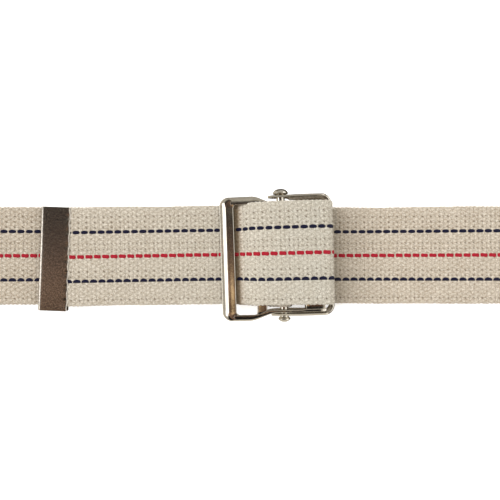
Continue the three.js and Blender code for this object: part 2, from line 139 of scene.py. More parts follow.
EYE_LOWER = [(-6, 3.3), (-2, 3.3), (2, 3.65), (6, 4.9), (10, 7.0), (14, 9.4)]
EYE_UPPER = [(12.4, 14.7), (9, 12.3), (5, 9.5), (1.2, 7.3), (-2.6, 5.9), (-6, 5.6)]
FOLD = [(47, 3.3), (44.4, 3.3), (41.5, 3.6), (39.8, 4.9), (39.4, 7.7), (39.5, 12.3)]
OVER_JAW = [
    (39.5, 12.3), (39.6, 15.2), (41.2, 18.4), (39.6, 20.5), (34, 20.7), (24, 20.2), (12, 19.2),
    (5.8, 18.0), (1.0, 15.9), (-3.6, 11.9), (-8.6, 10.0), (-15, 9.9), (-21, 10.1),
]
ROUTE = [
    (STRAIGHT, [(FOLD_TO + 2, FOLD_BACK_Z), (-6.5, FOLD_BACK_Z)]),
    (EYE, EYE_LOWER + eye_turn() + EYE_UPPER),
    (STRAIGHT, [(-6.5, FIXED_Z), (FOLD_TO, FIXED_Z)]),
    (LEFT, [(FOLD_TO, FIXED_Z), (-96, 6.4)] + end_bend(-1)[::-1]),
    (STRAIGHT, [(-RETURN_HALF, RETURN_Z), (RETURN_HALF, RETURN_Z)]),
    (STRAIGHT, end_bend(1)),
    (RIGHT, [(112, 7.5), (90, 5.5), (70, 3.9), (56, 3.3), (48, 3.3)]),
    (RIGHT, FOLD),
    (SPAN, OVER_JAW),
    (TAIL, [(-22, 10.1), (-40, 10.2), (TAIL_HINGE_X, 10.2)]),
    (TAIL, [(TAIL_HINGE_X, TAIL_Z), (TIP_LEFT_X + 1.2, TAIL_Z)]),
]
STEP = 0.1
BEND_BLUR = 0.9  # rounds off the joins between the route's curves
LIE_BLUR = 5.0  # eases each lie into the next
SAME_POINT = 1e-6
OFF_ROUTE = 2.0  # a point further away than this doesn't name a place on the route


def blurred(values, sigma):
    """Gaussian blur along the first axis, with the ends held."""
    reach = int(3 * sigma / STEP)
    kernel = np.exp(-0.5 * (np.arange(-reach, reach + 1) * STEP / sigma) ** 2)
    kernel /= kernel.sum()
    columns = values.reshape(len(values), -1).T
    padded = [np.concatenate([np.full(reach, c[0]), c, np.full(reach, c[-1])]) for c in columns]
    return np.array([np.convolve(c, kernel, "valid") for c in padded]).T.reshape(values.shape)


def side_gaps(line):
    """The distance from each point of a line to the next, seen from the side."""
    return np.linalg.norm(np.diff(line[:, [0, 2]], axis=0), axis=1)


def joined_curves():
    """The route's points, and the angle that the belt lies at in each."""
    line, lies = [], []
    for lie, points in ROUTE:
        xz = catmull_rom(points)
        line.append(turned(np.column_stack([xz[:, 0], np.zeros(len(xz)), xz[:, 1]]), lie))
        lies.append(np.full(len(xz), math.radians(lie[0])))
    line, lies = np.vstack(line), np.concatenate(lies)
    keep = np.concatenate([[True], side_gaps(line) > SAME_POINT])
    return line[keep], lies[keep]


def whole_route():
    """Arc length, middle line, and the directions across and off the belt, every STEP along it."""
    line, lies = joined_curves()
    length = np.concatenate([[0], np.cumsum(side_gaps(line))])
    s = np.arange(0, length[-1], STEP)
    even = np.column_stack([np.interp(s, length, line[:, k]) for k in range(3)])
    even[:, [0, 2]] = blurred(even[:, [0, 2]], BEND_BLUR)
    even[:, 1] = blurred(even[:, 1], LIE_BLUR)
    angle = blurred(np.interp(s, length, lies), LIE_BLUR)
    across = np.column_stack([-np.sin(angle), np.cos(angle), np.zeros(len(s))])
    along = np.gradient(even, axis=0)
    along -= (along * across).sum(axis=1)[:, None] * across
    along /= np.linalg.norm(along, axis=1)[:, None]
    return s, even, across, np.cross(across, along)


ROUTE_S, ROUTE_P, ROUTE_ACROSS, ROUTE_NORMAL = whole_route()


def length_at(x, z):
    """The arc length where the belt passes a point of the side view."""
    gap = np.hypot(ROUTE_P[:, 0] - x, ROUTE_P[:, 2] - z)
    best = int(np.argmin(gap))
    assert gap[best] < OFF_ROUTE, (x, z, gap[best])
    return float(ROUTE_S[best])


WIDENED = 0.016
WIDE_FROM_TO = (length_at(46.0, 3.3), length_at(39.5, 12.3), length_at(1.0, 15.9), length_at(-9.0, 10.0))


def widening(s):
    """The webbing is pulled a little wider where it lies over the lever."""
    return 1 + np.interp(s, WIDE_FROM_TO, (0.0, WIDENED, WIDENED, 0.0))


def on_belt(s, v, h):
    """World points at arc length s, v across the belt and h off its middle line."""
    tables = (ROUTE_P, ROUTE_ACROSS, ROUTE_NORMAL)
    base, across, normal = (np.stack([np.interp(s, ROUTE_S, c) for c in t.T], axis=-1) for t in tables)
    return to_world(base + (v * widening(s))[..., None] * across + h[..., None] * normal)


# ---- Meshes ----

def add_to_scene(name, data):
    piece = bpy.data.objects.new(name, data)
    bpy.context.scene.collection.objects.link(piece)
    return piece


def new_mesh(name, verts, faces, materials):
    """A smooth-shaded object in the scene."""
    mesh = bpy.data.meshes.new(name)
    mesh.from_pydata([tuple(v) for v in verts], [], faces)
    mesh.validate()
    for material in materials:
        mesh.materials.append(material)
    mesh.polygons.foreach_set("use_smooth", [True] * len(mesh.polygons))
    mesh.update()
    return add_to_scene(name, mesh)


def quad_mesh(name, verts, quads, material):
    """A smooth-shaded object of quads only, from arrays, which is fast for a big one."""
    mesh = bpy.data.meshes.new(name)
    count = len(quads)
    mesh.vertices.add(len(verts))
    mesh.vertices.foreach_set("co", np.asarray(verts, np.float32).ravel())
    mesh.loops.add(count * 4)
    mesh.loops.foreach_set("vertex_index", np.asarray(quads, np.int32).ravel())
    mesh.polygons.add(count)
    mesh.polygons.foreach_set("loop_start", np.arange(0, count * 4, 4, dtype=np.int32))
    mesh.update(calc_edges=True)
    mesh.polygons.foreach_set("use_smooth", np.ones(count, bool))
    mesh.materials.append(material)
    return add_to_scene(name, mesh)


def sharp_rings(piece, around, rings):
    """Keep the smooth shading of a skin's sides off its flat ends."""
    edges = np.empty(len(piece.data.edges) * 2, np.int32)
    piece.data.edges.foreach_get("vertices", edges)
    ends = edges.reshape(-1, 2) // around
    sharp = (ends[:, 0] == ends[:, 1]) & np.isin(ends[:, 0], rings)
    piece.data.attributes.new("sharp_edge", "BOOLEAN", "EDGE").data.foreach_set("value", sharp)


def set_weave(piece, vectors):
    """The weave attribute that the cloth's materials read: one vector for each point."""
    layer = piece.data.attributes.new("weave", "FLOAT_VECTOR", "POINT")
    layer.data.foreach_set("vector", np.asarray(vectors, np.float32).ravel())


def skin(rings, around):
    """Quads between each ring of points and the next."""
    i, j = np.meshgrid(np.arange(rings - 1), np.arange(around), indexing="ij")
    k = (j + 1) % around
    quads = np.stack([i * around + j, i * around + k, (i + 1) * around + k, (i + 1) * around + j], -1)
    return quads.reshape(-1, 4)


def loft(name, rings, material, levels=1, place=None):
    """A closed skin over a row of rings of points, in millimetres."""
    rings = np.array(rings, float)
    count, around, _ = rings.shape
    verts = np.vstack([rings.reshape(-1, 3), rings[0].mean(axis=0), rings[-1].mean(axis=0)])
    faces = skin(count, around).tolist()
    first, last = count * around, count * around + 1
    for j in range(around):
        k = (j + 1) % around
        faces.append((first, k, j))
        faces.append((last, (count - 1) * around + j, (count - 1) * around + k))
    if place is not None:
        verts = place(verts)
    piece = new_mesh(name, to_world(verts), faces, [material])
    if levels:
        subdivision = piece.modifiers.new("Subdivision", "SUBSURF")
        subdivision.levels = levels
        subdivision.render_levels = levels
    return piece


def joined(name, pieces):
    """One object from several, with their modifiers applied."""
    graph = bpy.context.evaluated_depsgraph_get()
    verts, faces, total = [], [], 0
    for piece in pieces:
        mesh = bpy.data.meshes.new_from_object(piece.evaluated_get(graph))
        verts += [v.co[:] for v in mesh.vertices]
        faces += [tuple(total + i for i in p.vertices) for p in mesh.polygons]
        total += len(mesh.vertices)
        material = mesh.materials[0]
        bpy.data.meshes.remove(mesh)
        bpy.data.objects.remove(piece)
    return new_mesh(name, verts, faces, [material])


# ---- Materials ----

class Nodes:
    """A short way to write a node tree."""

    def __init__(self, tree):
        self.tree = tree

    def put(self, socket, value):
        if isinstance(value, bpy.types.NodeSocket):
            self.tree.links.new(value, socket)
        else:
            socket.default_value = value

    def new(self, kind, inputs, output=0, **settings):
        """Add a node and give its output. Inputs are a list, or a dictionary by name or number."""
        node = self.tree.nodes.new("ShaderNode" + kind)
        for key, value in settings.items():
            setattr(node, key, value)
        pairs = inputs.items() if isinstance(inputs, dict) else enumerate(inputs)
        for key, value in pairs:
            self.put(node.inputs[key], value)
        return node.outputs[output]

    def math(self, operation, *values):
        return self.new("Math", values, operation=operation)

    def product(self, first, *others):
        for value in others:
            first = self.math("MULTIPLY", first, value)
        return first

    def weighted(self, *terms):
        """The sum of values times their weights."""
        total = 0.0
        for value, weight in terms:
            total = self.math("ADD", total, self.product(value, weight))
        return total

    def bell(self, x):
        """1 where x is 0, falling off on both sides."""
        return self.math("EXPONENT", self.product(x, x, -1.0))

    def remap(self, value, x0, x1, y0=0.0, y1=1.0, shape="LINEAR"):
        return self.new("MapRange", (value, x0, x1, y0, y1), interpolation_type=shape)

    def step(self, value, x0, x1):
        """0 at x0, easing to 1 at x1."""
        return self.remap(value, x0, x1, shape="SMOOTHSTEP")

    def mix(self, factor, a, b):
        return self.new("Mix", {"Factor": factor, 6: a, 7: b}, 2, data_type="RGBA")

    def layered(self, colour, layers):
        """Each layer's colour laid over the ones before it, by its amount."""
        for amount, over in layers:
            colour = self.mix(amount, colour, over)
        return colour

    def weave(self):
        """The three parts of the weave attribute."""
        return self.split(self.new("Attribute", (), "Vector", attribute_name="weave"))

    def place(self, output):
        return self.new("TexCoord", (), output)

    def split(self, vector):
        return self.new("SeparateXYZ", (vector,)).node.outputs

    def combine(self, *parts):
        return self.new("CombineXYZ", parts)

    def scaled(self, vector, scale):
        return self.new("Mapping", {"Vector": vector, "Scale": scale})

    def noise(self, vector, scale, detail=3.0, roughness=0.55):
        inputs = {"Vector": vector, "Scale": scale, "Detail": detail, "Roughness": roughness}
        return self.new("TexNoise", inputs)

    def cells(self, vector, feature, output):
        """Flat cells about 1 across, with their middles moved about a little."""
        inputs = {"Vector": vector, "Scale": 1.0, "Randomness": CELL_RANDOMNESS}
        return self.new("TexVoronoi", inputs, output, voronoi_dimensions="2D", feature=feature)

    def bump(self, height, distance, strength):
        return self.new("Bump", {"Height": height, "Distance": distance, "Strength": strength})


class Material(Nodes):
    """A material with one Principled shader."""

    def __init__(self, name):
        self.material = bpy.data.materials.new(name)
        self.material.use_nodes = True
        super().__init__(self.material.node_tree)
        self.shader = self.tree.nodes["Principled BSDF"]

    def set(self, **values):
        """Values or other nodes' outputs for the shader's sockets."""
        for key, value in values.items():
            self.put(self.shader.inputs[key.replace("_", " ")], value)


YARN = 1.27  # from one warp yarn to the next, across the belt
FLOAT = 4.33  # from one float of a yarn to its next, along the belt
STRIPE_ROW = 10  # the navy stripes' yarns, counted from the red one in the middle
PIT_ROWS = (20.5, 17.6, 14.9, 6.5, 3.6, -7.8, -10.5, -22.4)  # where the binder yarns leave rows of open pits
PIT_PHASES = ((-0.27, 1.0), (0.27, 0.5))  # place along a float, and depth
PIT_R = 0.42
PIT_SLANT = 1.4
CELL_RANDOMNESS = 0.42

# The strands' cloth is a warm beige. The span over the lever is stretched, greyer, and has shallower gaps.
STRAND_BASE, SPAN_BASE = (0.620, 0.549, 0.458, 1), (0.545, 0.523, 0.458, 1)
STRAND_TAN, SPAN_TAN = (0.33, 0.255, 0.175, 1), (0.40, 0.350, 0.265, 1)
# Painted highlight on the crown of each float.
CROWN_HIGHLIGHT_CREAM = (0.75, 0.705, 0.62, 1)
# Random fibre tone that is also a painted highlight on the raised fibres.
FIBRE_WHITE_AND_HIGHLIGHT = (0.83, 0.785, 0.70, 1)
# Painted shade in the gaps between floats, along the dark columns and between raised fibres.
GAP_SHADE_BROWN = (0.20, 0.140, 0.080, 1)
# Painted shade in the weave's pits.
PIT_SHADE_BROWN = (0.09, 0.062, 0.034, 1)
# Painted shade: the brown laid on where the tone is below 0.
PAINTED_SHADE_BROWN = (0.16, 0.105, 0.050, 1)


def float_cells(n, lean, across):
    """The floats' diamond lattice: distance to a gap and to a float's middle, and each float's number."""
    lattice = n.combine(n.math("ADD", lean, across), n.math("SUBTRACT", lean, across), 0.0)
    gap = n.cells(lattice, "DISTANCE_TO_EDGE", "Distance")
    middle = n.cells(lattice, "F1", "Distance")
    which = n.split(n.cells(lattice, "F1", "Color"))[0]
    return gap, middle, which


def pit_pattern(n, along, v):
    """1 in the middle of the deepest pits, which slant a little across their row."""
    rows = slant = 0.0
    for place in PIT_ROWS:
        off = n.product(n.math("SUBTRACT", v, place), 1 / PIT_R)
        near = n.bell(off)
        rows = n.math("ADD", rows, near)
        slant = n.math("ADD", slant, n.product(off, near, PIT_R * PIT_SLANT / FLOAT))
    spots = 0.0
    for place, depth in PIT_PHASES:
        at = n.math("SUBTRACT", n.math("SUBTRACT", along, slant), place)
        at = n.product(n.math("SUBTRACT", at, n.math("ROUND", at)), FLOAT / PIT_R)
        spots = n.math("ADD", spots, n.product(n.bell(at), depth))
    return n.product(rows, spots)


def cotton():
    """Undyed cotton. The weave attribute is a point's place along and across the belt, and its tone:
    0 for the strands' cloth, 1 for the span's, less than 0 for painted shade. Painted highlights lie on the
    floats' crowns, painted shade in the gaps and pits."""
    n = Material("cotton_webbing")
    u, v, tone = n.weave()
    flat = n.combine(u, v, 0.0)
    along = n.math("DIVIDE", u, FLOAT)
    wander = n.math("SUBTRACT", n.noise(flat, 0.42, 2.0), 0.5)
    lean = n.math("ADD", along, n.product(wander, 0.55))
    gap, middle, which = float_cells(n, lean, n.math("DIVIDE", v, 2 * YARN))
    fibres = n.noise(n.scaled(flat, (1.0, 2.2, 1.0)), 1.6, 3.0, 0.7)
    grain = n.noise(n.scaled(n.combine(u, v, 7.0), (1.8, 2.2, 1.0)), 1.0, 2.0, 0.8)
    blotch = n.noise(flat, 0.11, 2.0)
    pit = n.product(pit_pattern(n, along, v), n.remap(fibres, 0.35, 0.6, 0.5, 1.0))
    column = n.math("COSINE", n.product(n.math("ADD", lean, 0.03), 4 * math.pi))
    column = n.product(n.step(column, -0.1, -1.0), n.remap(grain, 0.60, 0.40, 0.15, 1.0))
    crease = n.product(n.step(gap, 0.15, 0.0), n.remap(fibres, 0.60, 0.42, 0.1, 1.0))
    crown = n.product(n.step(middle, 0.42, 0.0), n.remap(column, 0.0, 1.0, 1.0, 0.3))
    tan = n.mix(tone, STRAND_TAN, SPAN_TAN)
    colour = n.layered(n.mix(tone, STRAND_BASE, SPAN_BASE), (
        (n.remap(blotch, 0.35, 0.7, 0.0, 0.18), tan),
        (n.remap(which, 0.0, 1.0, 0.0, 0.22), tan),
        (n.remap(fibres, 0.50, 0.72, 0.0, 0.50), tan),
        # painted highlight: cream on the floats' crowns, which the bump also raises
        (n.product(crown, 0.50), CROWN_HIGHLIGHT_CREAM),
        # the fine grain: random fibre tone, whitened where the fibres stand up as a painted highlight
        (n.remap(grain, 0.54, 0.67, 0.0, 0.95), FIBRE_WHITE_AND_HIGHLIGHT),
        # painted shade: brown in the gaps between floats and along the dark columns, stronger on the strands,
        # whose gaps are deeper
        (n.product(crease, n.remap(tone, 0.0, 1.0, 0.56, 0.32)), GAP_SHADE_BROWN),
        (n.product(column, n.remap(tone, 0.0, 1.0, 0.30, 0.18)), GAP_SHADE_BROWN),
        # and browned between the raised fibres as painted shade
        (n.remap(grain, 0.46, 0.30, 0.0, 0.90), GAP_SHADE_BROWN),
        # painted shade in the pits, which the bump also dents
        (pit, PIT_SHADE_BROWN),
        # painted shade where the tone is below 0, mostly the front bar's shadow on the span
        (n.remap(tone, 0.0, -1.0, 0.0, 0.75), PAINTED_SHADE_BROWN),
    ))
    relief = n.weighted((crown, 0.6), (grain, 0.9), (crease, -0.4), (column, -0.4), (pit, -0.8))
    n.set(Base_Color=colour, Normal=n.bump(relief, 0.0003, 0.9))
    n.set(Roughness=0.95, Sheen_Weight=0.10, Sheen_Roughness=0.5, Specular_IOR_Level=0.1)
    return n.material


def dyed_yarn(name, dark, bright):
    """Dyed cotton, with the same weave attribute, but the float's number in place of a tone."""
    n = Material(name)
    u, v, cell = n.weave()
    fibres = n.noise(n.scaled(n.combine(u, v, cell), (1.2, 4.0, 1.0)), 2.2, 4.0, 0.65)
    twist = n.math("SINE", n.weighted((u, 4.6), (v, 6.0)))
    colour = n.mix(n.remap(fibres, 0.3, 0.72), dark, bright)
    # Painted shade: darker along the twist's grooves, where the bump dips too.
    colour = n.mix(n.remap(twist, -1.0, -0.3, 0.45, 0.0), colour, dark)
    height = n.weighted((twist, 0.5), (fibres, 0.8))
    n.set(Base_Color=colour, Normal=n.bump(height, 0.00014, 0.8))
    n.set(Roughness=0.7, Sheen_Weight=0.04, Sheen_Roughness=0.5, Specular_IOR_Level=0.25)
    return n.material


def sewing_thread():
    n = Material("stitching_thread")
    place = n.place("Object")
    x, y, _ = n.split(place)
    twist = n.math("SINE", n.product(n.math("ADD", x, y), 9000.0))
    fibres = n.noise(place, 4000.0, 3.0)
    colour = n.mix(fibres, (0.62, 0.56, 0.46, 1), (0.80, 0.75, 0.66, 1))
    n.set(Base_Color=colour, Normal=n.bump(twist, 0.00005, 0.6))
    n.set(Roughness=0.6, Sheen_Weight=0.2)
    return n.material


def nickel():
    """Polished plating, a little clouded, with fine wear drawn out across the belt."""
    n = Material("polished_nickel")
    place = n.place("Object")
    cloud = n.noise(place, 180.0, 3.0)
    wear = n.noise(n.scaled(place, (1.0, 0.12, 1.0)), 5200.0, 3.0, 0.6)
    colour = n.mix(n.remap(cloud, 0.35, 0.7), (0.70, 0.665, 0.60, 1), (0.62, 0.575, 0.50, 1))
    rough = n.math("ADD", n.remap(cloud, 0.3, 0.7, 0.10, 0.17), n.remap(wear, 0.5, 0.8, 0.0, 0.06))
    height = n.math("ADD", n.product(wear, 0.25), n.noise(place, 420.0, 2.0))
    n.set(Base_Color=colour, Roughness=rough, Normal=n.bump(height, 0.00004, 0.35))
    n.set(Metallic=1.0)
    return n.material


def tip_metal():
    """Mottled sheet metal, darker than the buckle, brushed across the belt."""
    n = Material("tip_metal")
    place = n.place("Object")
    brushed = n.noise(n.scaled(place, (9.0, 1.0, 1.0)), 900.0, 4.0, 0.7)
    mottle = n.noise(place, 1100.0, 4.0, 0.8)
    colour = n.mix(n.remap(mottle, 0.38, 0.62), (0.31, 0.285, 0.26, 1), (0.57, 0.52, 0.46, 1))
    rough = n.remap(brushed, 0.3, 0.75, 0.17, 0.27)
    height = n.math("ADD", brushed, n.product(mottle, 0.6))
    n.set(Base_Color=colour, Roughness=rough, Normal=n.bump(height, 0.00003, 0.5))
    n.set(Metallic=1.0)
    return n.material


COTTON = cotton()
NAVY = dyed_yarn("navy_yarn", (0.003, 0.003, 0.012, 1), (0.009, 0.010, 0.040, 1))
RED = dyed_yarn("red_yarn", (0.20, 0.004, 0.012, 1), (0.54, 0.022, 0.045, 1))
THREAD = sewing_thread()
NICKEL = nickel()
TIP_METAL = tip_metal()

# ---- Webbing ----

SPAN_MIDDLE_S = length_at(18.5, 19.8)
SLIPS = (  # arc length, and how far the weave's pattern has crept ahead there
    (length_at(FOLD_TO - 2, FIXED_Z), 0.0),
    (length_at(FOLD_TO - 20, 6.4), 2.78),
    (length_at(60, 3.4), 2.25),
    (length_at(46.0, 3.3), 2.25),
    (length_at(39.5, 12.3), 0.0),
    (length_at(-9.0, 10.0), 0.0),
    (length_at(-19.0, 10.0), 1.6),
)
PATTERN_U = ROUTE_S - SPAN_MIDDLE_S + np.interp(ROUTE_S, *np.array(SLIPS).T)

PAINTED_SHADE_S = length_at(-7.6, 10.2)  # painted shadow: the webbing is darkened just right of the front bar, where the bar shades it
PAINTED_SHADE_WIDE = 3.4
PAINTED_SHADE_DEPTH = 2.6

# How far the faces stand off the belt's middle line.
FACE = 0.90
FLOAT_RISE = 0.10
STRIPE_FLOOR = 0.74
PIT_DEPTH = 0.18
PIT_LONG = 0.6
PIT_WIDE = 0.5
RIM = 4.0  # the selvedge's unevenness fades out this far into the belt
RIM_OUT = 0.22

COARSE, FINE = (2, 4), (4, 8)  # points per yarn across the belt, and per float along it
SIZES_ALONG = 401
SIZES_ACROSS = 41
rng = np.random.RandomState(7)
FLOAT_SIZES = rng.uniform(-1, 1, (SIZES_ALONG, SIZES_ACROSS))
EDGE_SIZES = rng.uniform(-1, 1, (SIZES_ALONG, 2))


def pattern_at(s):
    """The place in the weave's pattern at an arc length."""
    return np.interp(s, ROUTE_S, PATTERN_U)


def pits(u, v):
    """How deep the weave's pits are, from 0 to about 1."""
    spots = rows = 0.0
    for phase, depth in PIT_PHASES:
        off = u / FLOAT - phase
        spots = spots + depth * np.exp(-(((off - np.round(off)) * FLOAT / PIT_LONG) ** 2))
    for place in PIT_ROWS:
        rows = rows + np.exp(-(((v - place) / PIT_WIDE) ** 2))
    return spots * rows


def weave_height(u, v):
    """How far the face stands off the middle line: rows of warp floats, every other row half a float on."""
    row = np.round(v / YARN)
    seeds = np.cos(2 * np.pi * u / FLOAT) * np.cos(np.pi * v / YARN)
    cell = np.round(2 * u / FLOAT).astype(int) % SIZES_ALONG
    size = FLOAT_SIZES[cell, (row.astype(int) + SIZES_ACROSS // 2) % SIZES_ACROSS]
    height = FACE + FLOAT_RISE * np.sign(seeds) * np.abs(seeds) ** 0.7 + 0.03 * size - PIT_DEPTH * pits(u, v)
    stripe = (row == 0) | (np.abs(row) == STRIPE_ROW)
    height = np.where(stripe, STRIPE_FLOOR, height)
    edge = np.clip((np.abs(v) - (WEB_HALF - 1.5)) / 1.7, 0, 1)
    return height * np.sqrt(1 - 0.72 * edge**2)


def selvedge(u, side):
    """How far the woven edge bulges past the webbing's half width."""
    cell = np.floor(u / (FLOAT / 2)).astype(int) % SIZES_ALONG
    loops = np.cos(2 * np.pi * u / (FLOAT / 2))
    slow = 0.10 * np.sin(u / 17.0 + side) + 0.06 * np.sin(u / 7.3 + 2 * side)
    return 0.14 * loops + 0.10 * EDGE_SIZES[cell, 0 if side < 0 else 1] + slow


def webbing_rings(s, u, v):
    """The points round the webbing at each arc length: top, far edge, bottom, near edge."""
    uu, vv = np.meshgrid(u, v, indexing="ij")
    ss = np.repeat(s[:, None], len(v), axis=1)
    rim = np.clip((np.abs(vv) - (WEB_HALF - RIM)) / RIM, 0, 1) ** 2
    bulge = np.where(vv < 0, selvedge(uu, -1), selvedge(uu, 1)) * rim
    spread = vv + np.sign(vv) * bulge
    top = on_belt(ss, spread, weave_height(uu, vv))
    bottom = on_belt(ss, spread, -weave_height(uu + FLOAT / 2, vv))
    edges = []
    for sign in (1, -1):
        edge = sign * (WEB_HALF + RIM_OUT + selvedge(u, sign))
        edges.append(on_belt(s, edge, np.zeros_like(s))[:, None])
    return np.concatenate([top, edges[0], bottom[:, ::-1], edges[1]], axis=1)


def cut_ends(rows, around, steps):
    """Quads across the two ends of a stretch, from top face to bottom face."""
    near = np.arange(rows)
    far = 2 * rows + 2 - near
    cap = np.stack([near, near + 1, far - 1, far], -1)
    return [cap[:, ::-1], steps * around + cap]


def mark_weave(piece, s, u, v, tones):
    """Each point's place in the pattern, half a float on at the bottom face, and its tone."""
    # The tone falls below 0 just right of the front bar: a painted shadow of the bar on the webbing.
    tone = np.interp(s, [s[0], s[-1]], tones) - PAINTED_SHADE_DEPTH * np.exp(-(((s - PAINTED_SHADE_S) / PAINTED_SHADE_WIDE) ** 2))
    across = np.concatenate([v, [WEB_HALF], v[::-1], [-WEB_HALF]])
    below = np.repeat([0.0, FLOAT / 2], len(v) + 1)
    field = np.zeros((len(s), len(across), 3))
    field[..., 0] = u[:, None] + below[None, :]
    field[..., 1] = across[None, :]
    field[..., 2] = tone[:, None]
    set_weave(piece, field)


def webbing(name, s0, s1, sampling, tones):
    """A stretch of woven webbing between two arc lengths, both faces and both selvedges."""
    per_yarn, per_float = sampling
    rows = int(round(2 * WEB_HALF / YARN * per_yarn))
    steps = max(2, int(round((s1 - s0) / FLOAT * per_float)))
    s = np.linspace(s0, s1, steps + 1)
    u = pattern_at(s)
    v = (np.arange(rows + 1) - rows / 2) * YARN / per_yarn
    rings = webbing_rings(s, u, v)
    around = rings.shape[1]
    quads = np.vstack([skin(steps + 1, around)] + cut_ends(rows, around, steps))
    piece = quad_mesh(name, rings.reshape(-1, 3), quads[:, ::-1], COTTON)
    sharp_rings(piece, around, (0, steps))
    mark_weave(piece, s, u, v, tones)
    return piece


STRIPES = (  # yarn's row, how far ahead, side shift, half length, half width, sideways droop of the ends
    (STRIPE_ROW, 0.0, 0.0, 1.90, 1.00, 0.10),
    (-STRIPE_ROW, 0.0, 0.18, 2.00, 0.95, 0.62),
    (0, -0.66, -0.08, 1.26, 1.16, 0.0),
    (0, 0.66, 0.08, 1.26, 1.16, 0.0),
)
DASH_ALONG = 9
DASH_AROUND = 8


def dash(centre, middle, half_long, half_wide, droop, face):
    """One float of a dyed yarn: a flattened bead that dives into the webbing at both ends."""
    t = np.sin(np.linspace(-np.pi / 2, np.pi / 2, DASH_ALONG))
    a = np.arange(DASH_AROUND) * 2 * np.pi / DASH_AROUND
    u = centre + half_long * t
    r = np.sqrt(np.clip(1 - np.abs(t) ** 3, 0, 1)) + 0.02
    v = middle - droop * np.abs(t) ** 2.2
    vv = v[:, None] + half_wide * r[:, None] * np.cos(a)[None, :]
    rise = np.sin(a)[None, :] * r[:, None]
    hh = 0.66 + 0.44 * rise + 0.08 * r[:, None]
    uu = np.repeat(u[:, None], DASH_AROUND, axis=1)
    return uu, vv, hh * face


def stripe_dashes(s0, s1):
    """Row, cell, face (1 top, -1 bottom) and bead of each dyed float between two arc lengths."""
    for row, ahead, lift, half_long, half_wide, droop in STRIPES:
        for face in (1, -1):
            shift = (0.5 if row == 0 else 0.0) + (0.5 if face < 0 else 0.0)
            first = math.ceil((pattern_at(s0) - half_long) / FLOAT + shift)
            last = math.floor((pattern_at(s1) + half_long) / FLOAT + shift)
            for cell in range(first, last + 1):
                long = half_long * (1 + 0.05 * FLOAT_SIZES[cell % SIZES_ALONG, row % SIZES_ACROSS])
                centre = (cell - shift) * FLOAT + ahead
                yield row, cell, face, dash(centre, row * YARN + lift, long, half_wide, droop, face)


def stripe_yarns(name, s0, s1):
    """The navy and red floats on both faces of a stretch of webbing."""
    points, field, faces, slots = [], [], [], []
    quads = skin(DASH_ALONG, DASH_AROUND)
    for row, cell, face, (uu, vv, hh) in stripe_dashes(s0, s1):
        ss = np.clip(np.interp(uu, PATTERN_U, ROUTE_S), s0, s1)
        faces.append(len(points) * uu.size + (quads if face > 0 else quads[:, ::-1]))
        points.append(on_belt(ss, vv, hh).reshape(-1, 3))
        field.append(np.stack([uu, vv, np.full_like(uu, float(cell))], -1).reshape(-1, 3))
        slots += [1 if row == 0 else 0] * len(quads)
    piece = new_mesh(name, np.vstack(points), np.vstack(faces).tolist(), [NAVY, RED])
    piece.data.polygons.foreach_set("material_index", slots)
    set_weave(piece, np.vstack(field))
    return piece


S_EYE_END = length_at(FOLD_TO, FIXED_Z)
S_LEFT = length_at(-138, 9.4)
S_RETURN_LEFT = length_at(-RETURN_HALF, RETURN_Z)
S_RETURN_RIGHT = length_at(RETURN_HALF, RETURN_Z)
S_RIGHT = length_at(138, 9.4)
S_FOLD = length_at(46.5, FOLD_BACK_Z)
S_JAW_TOP = length_at(34.0, 20.6)
S_SPAN_END = length_at(-20.6, 10.1)
S_HINGE = length_at(-52, TAIL_Z)
S_END = float(ROUTE_S[-1]) - 0.3


PIECES = [  # name, from, to, points, tone at both ends, CAD nodes, and its body or the two it joins
    ("fixed_end", 0.0, S_EYE_END, COARSE, (0, 0),
     ("fixed_end_fold_back", "pivot_loop", "fixed_end_top_ply"), "root"),
    ("left_strand", S_EYE_END, S_LEFT, FINE, (-0.2, 0), ("left_front_strand",), "root"),
    ("left_bend", S_LEFT, S_RETURN_LEFT, COARSE, (0, 0),
     ("left_end_bend", "left_rising_strand"), "root"),
    ("return", S_RETURN_LEFT, S_RETURN_RIGHT, COARSE, (0, 0), ("return_strand",), "root"),
    ("right_bend", S_RETURN_RIGHT, S_RIGHT, COARSE, (0, 0),
     ("right_end_bend", "right_rising_strand"), "root"),
    ("right_strand", S_RIGHT, S_FOLD, FINE, (0, 0), ("right_front_strand",), "root"),
    ("jaw_turn", S_FOLD, S_JAW_TOP, FINE, (0.3, 1), ("jaw_turn",), ("root", "lever")),
    ("front_span", S_JAW_TOP, S_SPAN_END, FINE, (1, 0.6), ("front_span",), "lever"),
    ("near_tail", S_SPAN_END, S_HINGE, FINE, (0.6, 0.4), ("tail_near_buckle",), ("lever", "root")),
    ("tail_end", S_HINGE, S_END, FINE, (0.4, 0.3), ("tail_end",), ("root", "tail")),
]


def build_webbing():
    for name, s0, s1, sampling, tones, nodes, body in PIECES:
        web = webbing(f"web_{name}", s0, s1, sampling, tones)
        stripes = stripe_yarns(f"stripes_{name}", s0, s1)
        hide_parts(*nodes)
        for piece in (web, stripes):
            if isinstance(body, str):
                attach(piece, body)
            else:
                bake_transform(piece)


build_webbing()

# ---- Metal ----

LEVER_Y = -1.0


def at_pivot(points, shift_y=0.0):
    """Points measured from the pivot, in the belt's frame."""
    moved = np.asarray(points, float) + np.array([PIVOT_X, shift_y, PIVOT_Z])
    return turned(moved, BUCKLE)


def lever_place(points):
    """The lever sits a little towards the near side on its pin."""
    return at_pivot(points, LEVER_Y)


